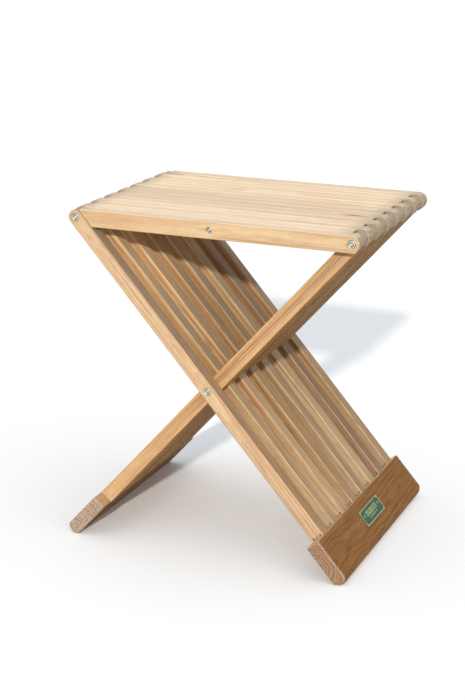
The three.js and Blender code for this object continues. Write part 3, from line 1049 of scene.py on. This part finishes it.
def border():
    """The plate's raised gold rim, with notched inner corners."""
    u, v = PLATE["height"] / 2, PLATE["width"] / 2
    rim, notch, corner = PLATE["rim"], PLATE["notch"], PLATE["corner"]

    def loop(inner, z, shrink):
        a, b = u - shrink, v - shrink
        points = []
        for sx, sy in ((1, 1), (-1, 1), (-1, -1), (1, -1)):
            if inner:
                a2, b2 = u - rim + shrink, v - rim + shrink
                steps = [(a2, b2 - notch), (a2 - notch, b2 - notch), (a2 - notch, b2)]
            else:
                steps = [(a, b - corner), (a - corner * 0.3, b - corner * 0.3), (a - corner, b)]
            if sx * sy < 0:
                steps.reverse()
            points += [(sx * p, sy * q, z) for p, q in steps]
        return points

    base = PLATE["thick"] - PLATE["sunk"]
    top = PLATE["thick"] + PLATE["raise"]
    bevel = PLATE["bevel"]
    loops = [loop(False, base, 0), loop(False, top - bevel, 0), loop(False, top, bevel),
             loop(True, top, bevel), loop(True, top - bevel, 0), loop(True, base, 0)]
    n = len(loops[0])
    vertices = [p for ring in loops for p in ring]
    faces = []
    for k in range(len(loops)):
        a, b = k * n, ((k + 1) % len(loops)) * n
        faces += [(a + i, a + (i + 1) % n, b + (i + 1) % n, b + i) for i in range(n)]
    return outward(mesh_from(vertices, faces))


def label():
    """A green plate with a gold rim, plain gold bars and two diamonds, and no lettering."""
    low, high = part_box("label_plate")
    lift = Matrix.Translation((SHOULDER + PLATE["drop"], 0, TIP + PLATE["lift"]))
    width = PLATE["width"] - PLATE["play"]
    height = PLATE["height"] - PLATE["play"]
    base = panel(width, height, 0, PLATE["thick"], BAR_BEVEL)
    piece("label_enamel", base, LEG_A @ lift, "leg_a", GREEN, ["label_plate"])
    shapes = [border()]
    bottom = PLATE["thick"] - PLATE["sunk"]
    top = PLATE["thick"] + BAR_RAISE
    for marks, turn in ((BARS, 0), (DIAMONDS, 45)):
        for width, height, along, down in marks:
            mark = panel(width * MM, height * MM, bottom, top, BAR_BEVEL)
            place = Matrix.Translation((down * MM, along * MM, 0))
            shapes.append(moved(mark, place @ Matrix.Rotation(math.radians(turn), 4, "Z")))
    piece("label_gilding", joined(shapes), LEG_A @ lift, "leg_a", GOLD)


def build():
    shifts = {"a": [], "b": []}
    for letter, place, tints in (("a", LEG_A, LEG_A_TINTS), ("b", LEG_B, LEG_B_TINTS)):
        for number, tint in enumerate(tints, 1):
            nut_side = {1: -1, len(tints): 1}.get(number, 0) if letter == "a" else 0
            shift = leg_slat(number, letter, place, tint, nut_side)
            shifts[letter].append(shift)
            brads(number, letter, place, shift)
    behind_face = (SHOULDER + BOARD_WIDTH * 0.55, 0, -14 * MM)
    foot_board("a", LEG_A, shifts["a"], "plain", end_weather=0.25, aging_and_face_shading=1.0,
               middle=behind_face, pith=(1 * MM, 4 * MM))
    near_tip = (LEG_LENGTH - 13 * MM, 0, 0)
    foot_board("b", LEG_B, shifts["b"], "tan", end_weather=0.85, aging_and_face_shading=0.6,
               middle=near_tip, pith=(0, 2 * MM))
    for number in range(1, len(SEAT_TINTS) + 1):
        deck_slat(number)
    nuts()
    label()
    for name, node in frame["nodes"].items():
        if name.startswith("rod_"):
            node.data.materials.clear()
            node.data.materials.append(STEEL)


build()

# ---- floor, light and camera ----------------------------------------------------------------


FLOOR_SIZE = 30.0
VIEW = {"azimuth": math.radians(21.6066), "elevation": math.radians(16.5626),
        "roll": math.radians(0.78234), "lens": 86.63, "sensor": 36, "clip": (0.05, 100),
        "place": (0.80031, -2.08712, 0.91008)}


def floor():
    """A plain pale floor, far wider than the view."""
    size = FLOOR_SIZE
    mesh = mesh_from([(-size, -size, 0), (size, -size, 0), (size, size, 0), (-size, size, 0)],
                     [(0, 1, 2, 3)])
    g = Graph("pale_floor")
    place = g.put("ShaderNodeTexCoord", {}).outputs["Object"]
    cloud = g.noise(g.scaled(place, (0.6, 0.6, 0.6)), detail=2.0)
    colour = g.mix(cloud, rgba((0.93, 0.92, 0.89)), rgba((0.95, 0.94, 0.91)))
    g.shade(base_color=colour, roughness=0.9, specular_ior_level=0.1)
    mesh.materials.append(g.material)
    made = bpy.data.objects.new("floor", mesh)
    bpy.context.collection.objects.link(made)
    made.visible_diffuse = False


def sun(name, travel, strength, angle, colour):
    data = bpy.data.lights.new(name, "SUN")
    data.energy = strength
    data.angle = math.radians(angle)
    data.color = colour
    made = bpy.data.objects.new(name, data)
    made.rotation_mode = "QUATERNION"
    made.rotation_quaternion = Vector(travel).to_track_quat("-Z", "Y")
    bpy.context.collection.objects.link(made)


def sky(below, level, overhead):
    """Soft light from all round: warm from below, and brighter from the horizon to overhead."""
    world = bpy.data.worlds.new("sky")
    world.use_nodes = True
    nodes = world.node_tree.nodes
    links = world.node_tree.links
    direction = nodes.new("ShaderNodeTexCoord")
    split = nodes.new("ShaderNodeSeparateXYZ")
    height = nodes.new("ShaderNodeMath")
    height.operation = "MULTIPLY_ADD"
    height.inputs[1].default_value = 0.5
    height.inputs[2].default_value = 0.5
    ramp = nodes.new("ShaderNodeValToRGB")
    links.new(direction.outputs["Generated"], split.inputs[0])
    links.new(split.outputs["Z"], height.inputs[0])
    links.new(height.outputs[0], ramp.inputs[0])
    stops = ramp.color_ramp.elements
    stops[0].position, stops[0].color = 0.49, rgba(below)
    stops[1].position, stops[1].color = 0.97, rgba(overhead)
    horizon = stops.new(0.51)
    horizon.color = rgba(level)
    links.new(ramp.outputs[0], nodes["Background"].inputs["Color"])
    nodes["Background"].inputs["Strength"].default_value = 1.0
    bpy.context.scene.world = world


def camera():
    """The photograph's viewpoint, in the stool's frame."""
    azimuth, elevation, roll = VIEW["azimuth"], VIEW["elevation"], VIEW["roll"]
    ahead = Vector((-math.sin(azimuth) * math.cos(elevation),
                    math.cos(azimuth) * math.cos(elevation), -math.sin(elevation)))
    level = ahead.cross(Vector((0, 0, 1))).normalized()
    upward = level.cross(ahead)
    right = math.cos(roll) * level + math.sin(roll) * upward
    top = -math.sin(roll) * level + math.cos(roll) * upward
    data = bpy.data.cameras.new("view")
    data.lens = VIEW["lens"]
    data.sensor_width = VIEW["sensor"]
    data.clip_start, data.clip_end = VIEW["clip"]
    made = bpy.data.objects.new("view", data)
    x, y, z = VIEW["place"]
    made.matrix_world = Matrix((
        (right.x, top.x, -ahead.x, x),
        (right.y, top.y, -ahead.y, y),
        (right.z, top.z, -ahead.z, z),
        (0, 0, 0, 1),
    ))
    bpy.context.collection.objects.link(made)
    bpy.context.scene.camera = made


floor()
sun("key", travel=(-0.25, 0.86, -0.39), strength=2.5, angle=2.0, colour=(1.0, 0.965, 0.91))
sun("fill", travel=(-0.9, 0.3, -0.25), strength=0.48, angle=50.0, colour=(0.93, 1.0, 1.1))
sky(below=(0.54, 0.51, 0.44), level=(0.53, 0.56, 0.61), overhead=(0.86, 0.91, 0.99))
camera()
bpy.context.scene.view_settings.view_transform = "Standard"
